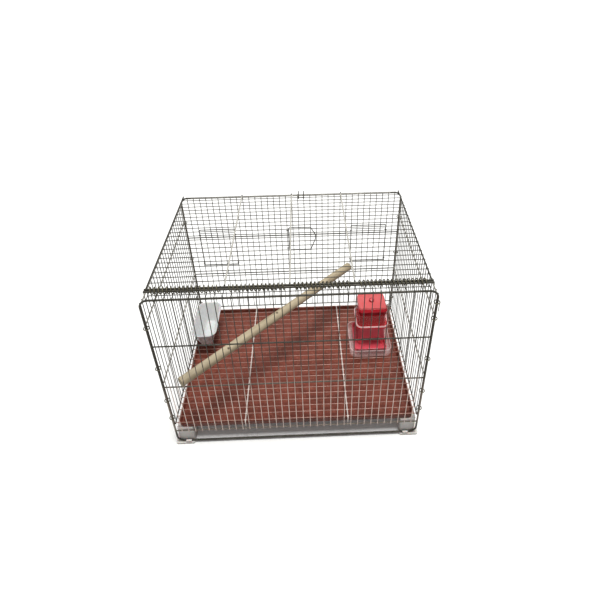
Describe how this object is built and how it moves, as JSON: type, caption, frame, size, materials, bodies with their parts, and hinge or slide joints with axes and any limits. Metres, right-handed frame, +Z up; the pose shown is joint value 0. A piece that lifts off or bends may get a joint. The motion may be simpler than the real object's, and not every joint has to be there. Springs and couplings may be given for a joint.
{
  "type": "bird cage",
  "caption": "Low rectangular wire bird cage with opening roof, slide-up and hinged wire doors, slide-out brown tray, wooden perch, red seed feeder and white tub.",
  "frame": {"origin": "middle of the four feet's soles, on the surface that the cage stands on", "axes": "+Z up, +X along the cage's width, +Y from the rear, where the roof turns, to the front with the doors and the tray's slot"},
  "size_m": [0.4678, 0.3165, 0.3736],
  "materials": {
    "zinc_wire": "zinc-coated drawn wire",
    "dark_wire": "dull drawn wire",
    "brown_plastic": "mottled red-brown moulding",
    "milky_plastic": "milky translucent moulding",
    "pale_wood": "bare turned softwood",
    "clear_plastic": "clear polystyrene",
    "red_plastic": "translucent red polystyrene",
    "white_plastic": "milky white moulding"
  },
  "bodies": {
    "cage": {"rear_panel": "zinc_wire", "front_panel": "zinc_wire", "left_panel": "zinc_wire", "right_panel": "zinc_wire", "roof_hinge_spirals": "dark_wire", "floor_net": "zinc_wire", "corner_rings": "dark_wire", "side_hook": "dark_wire", "foot_rear_left": "milky_plastic", "foot_rear_right": "milky_plastic", "foot_front_left": "milky_plastic", "foot_front_right": "milky_plastic"},
    "roof": {"roof_panel": "zinc_wire"},
    "roof_latch": {"roof_latch": "zinc_wire"},
    "left_door": {"left_door": "zinc_wire"},
    "right_door": {"right_door": "zinc_wire"},
    "centre_door": {"centre_door": "zinc_wire"},
    "tray": {"tray": "brown_plastic"},
    "perch": {"perch": "pale_wood"},
    "feeder": {"feeder_dish": "clear_plastic", "feeder_liner": "red_plastic", "feeder_hopper": "red_plastic", "feeder_sleeve": "clear_plastic"},
    "feeder_lid": {"feeder_lid": "red_plastic"},
    "tub": {"white_tub": "white_plastic"}
  },
  "joints": [
    {"name": "roof_hinge", "type": "hinge", "parent": "cage", "child": "roof", "pos_m": [0, -0.13, 0.3673], "axis": [1, 0, 0], "range_deg": [0, 100]},
    {"name": "roof_latch_hinge", "type": "hinge", "parent": "roof", "child": "roof_latch", "pos_m": [0.0198, 0.1397, 0.36705], "axis": [1, 0, 0], "range_deg": [0, 110]},
    {"name": "left_door_slide", "type": "slide", "parent": "cage", "child": "left_door", "axis": [0, 0, 1], "range_m": [0, 0.066]},
    {"name": "right_door_slide", "type": "slide", "parent": "cage", "child": "right_door", "axis": [0, 0, 1], "range_m": [0, 0.066]},
    {"name": "centre_door_hinge", "type": "hinge", "parent": "cage", "child": "centre_door", "pos_m": [-0.0127, 0.15445, 0.25], "axis": [0, 0, 1], "range_deg": [0, 115]},
    {"name": "tray_slide", "type": "slide", "parent": "cage", "child": "tray", "axis": [0, 1, 0], "range_m": [0, 0.28]},
    {"name": "perch_lift", "type": "slide", "parent": "cage", "child": "perch", "axis": [0, 0, 1], "range_m": [0, 0.06]},
    {"name": "feeder_lift", "type": "slide", "parent": "cage", "child": "feeder", "axis": [0, 0, 1], "range_m": [0, 0.06]},
    {"name": "feeder_lid_lift", "type": "slide", "parent": "feeder", "child": "feeder_lid", "axis": [0, 0, 1], "range_m": [0, 0.04]},
    {"name": "tub_lift", "type": "slide", "parent": "cage", "child": "tub", "axis": [0, 0, 1], "range_m": [0, 0.08]}
  ]
}
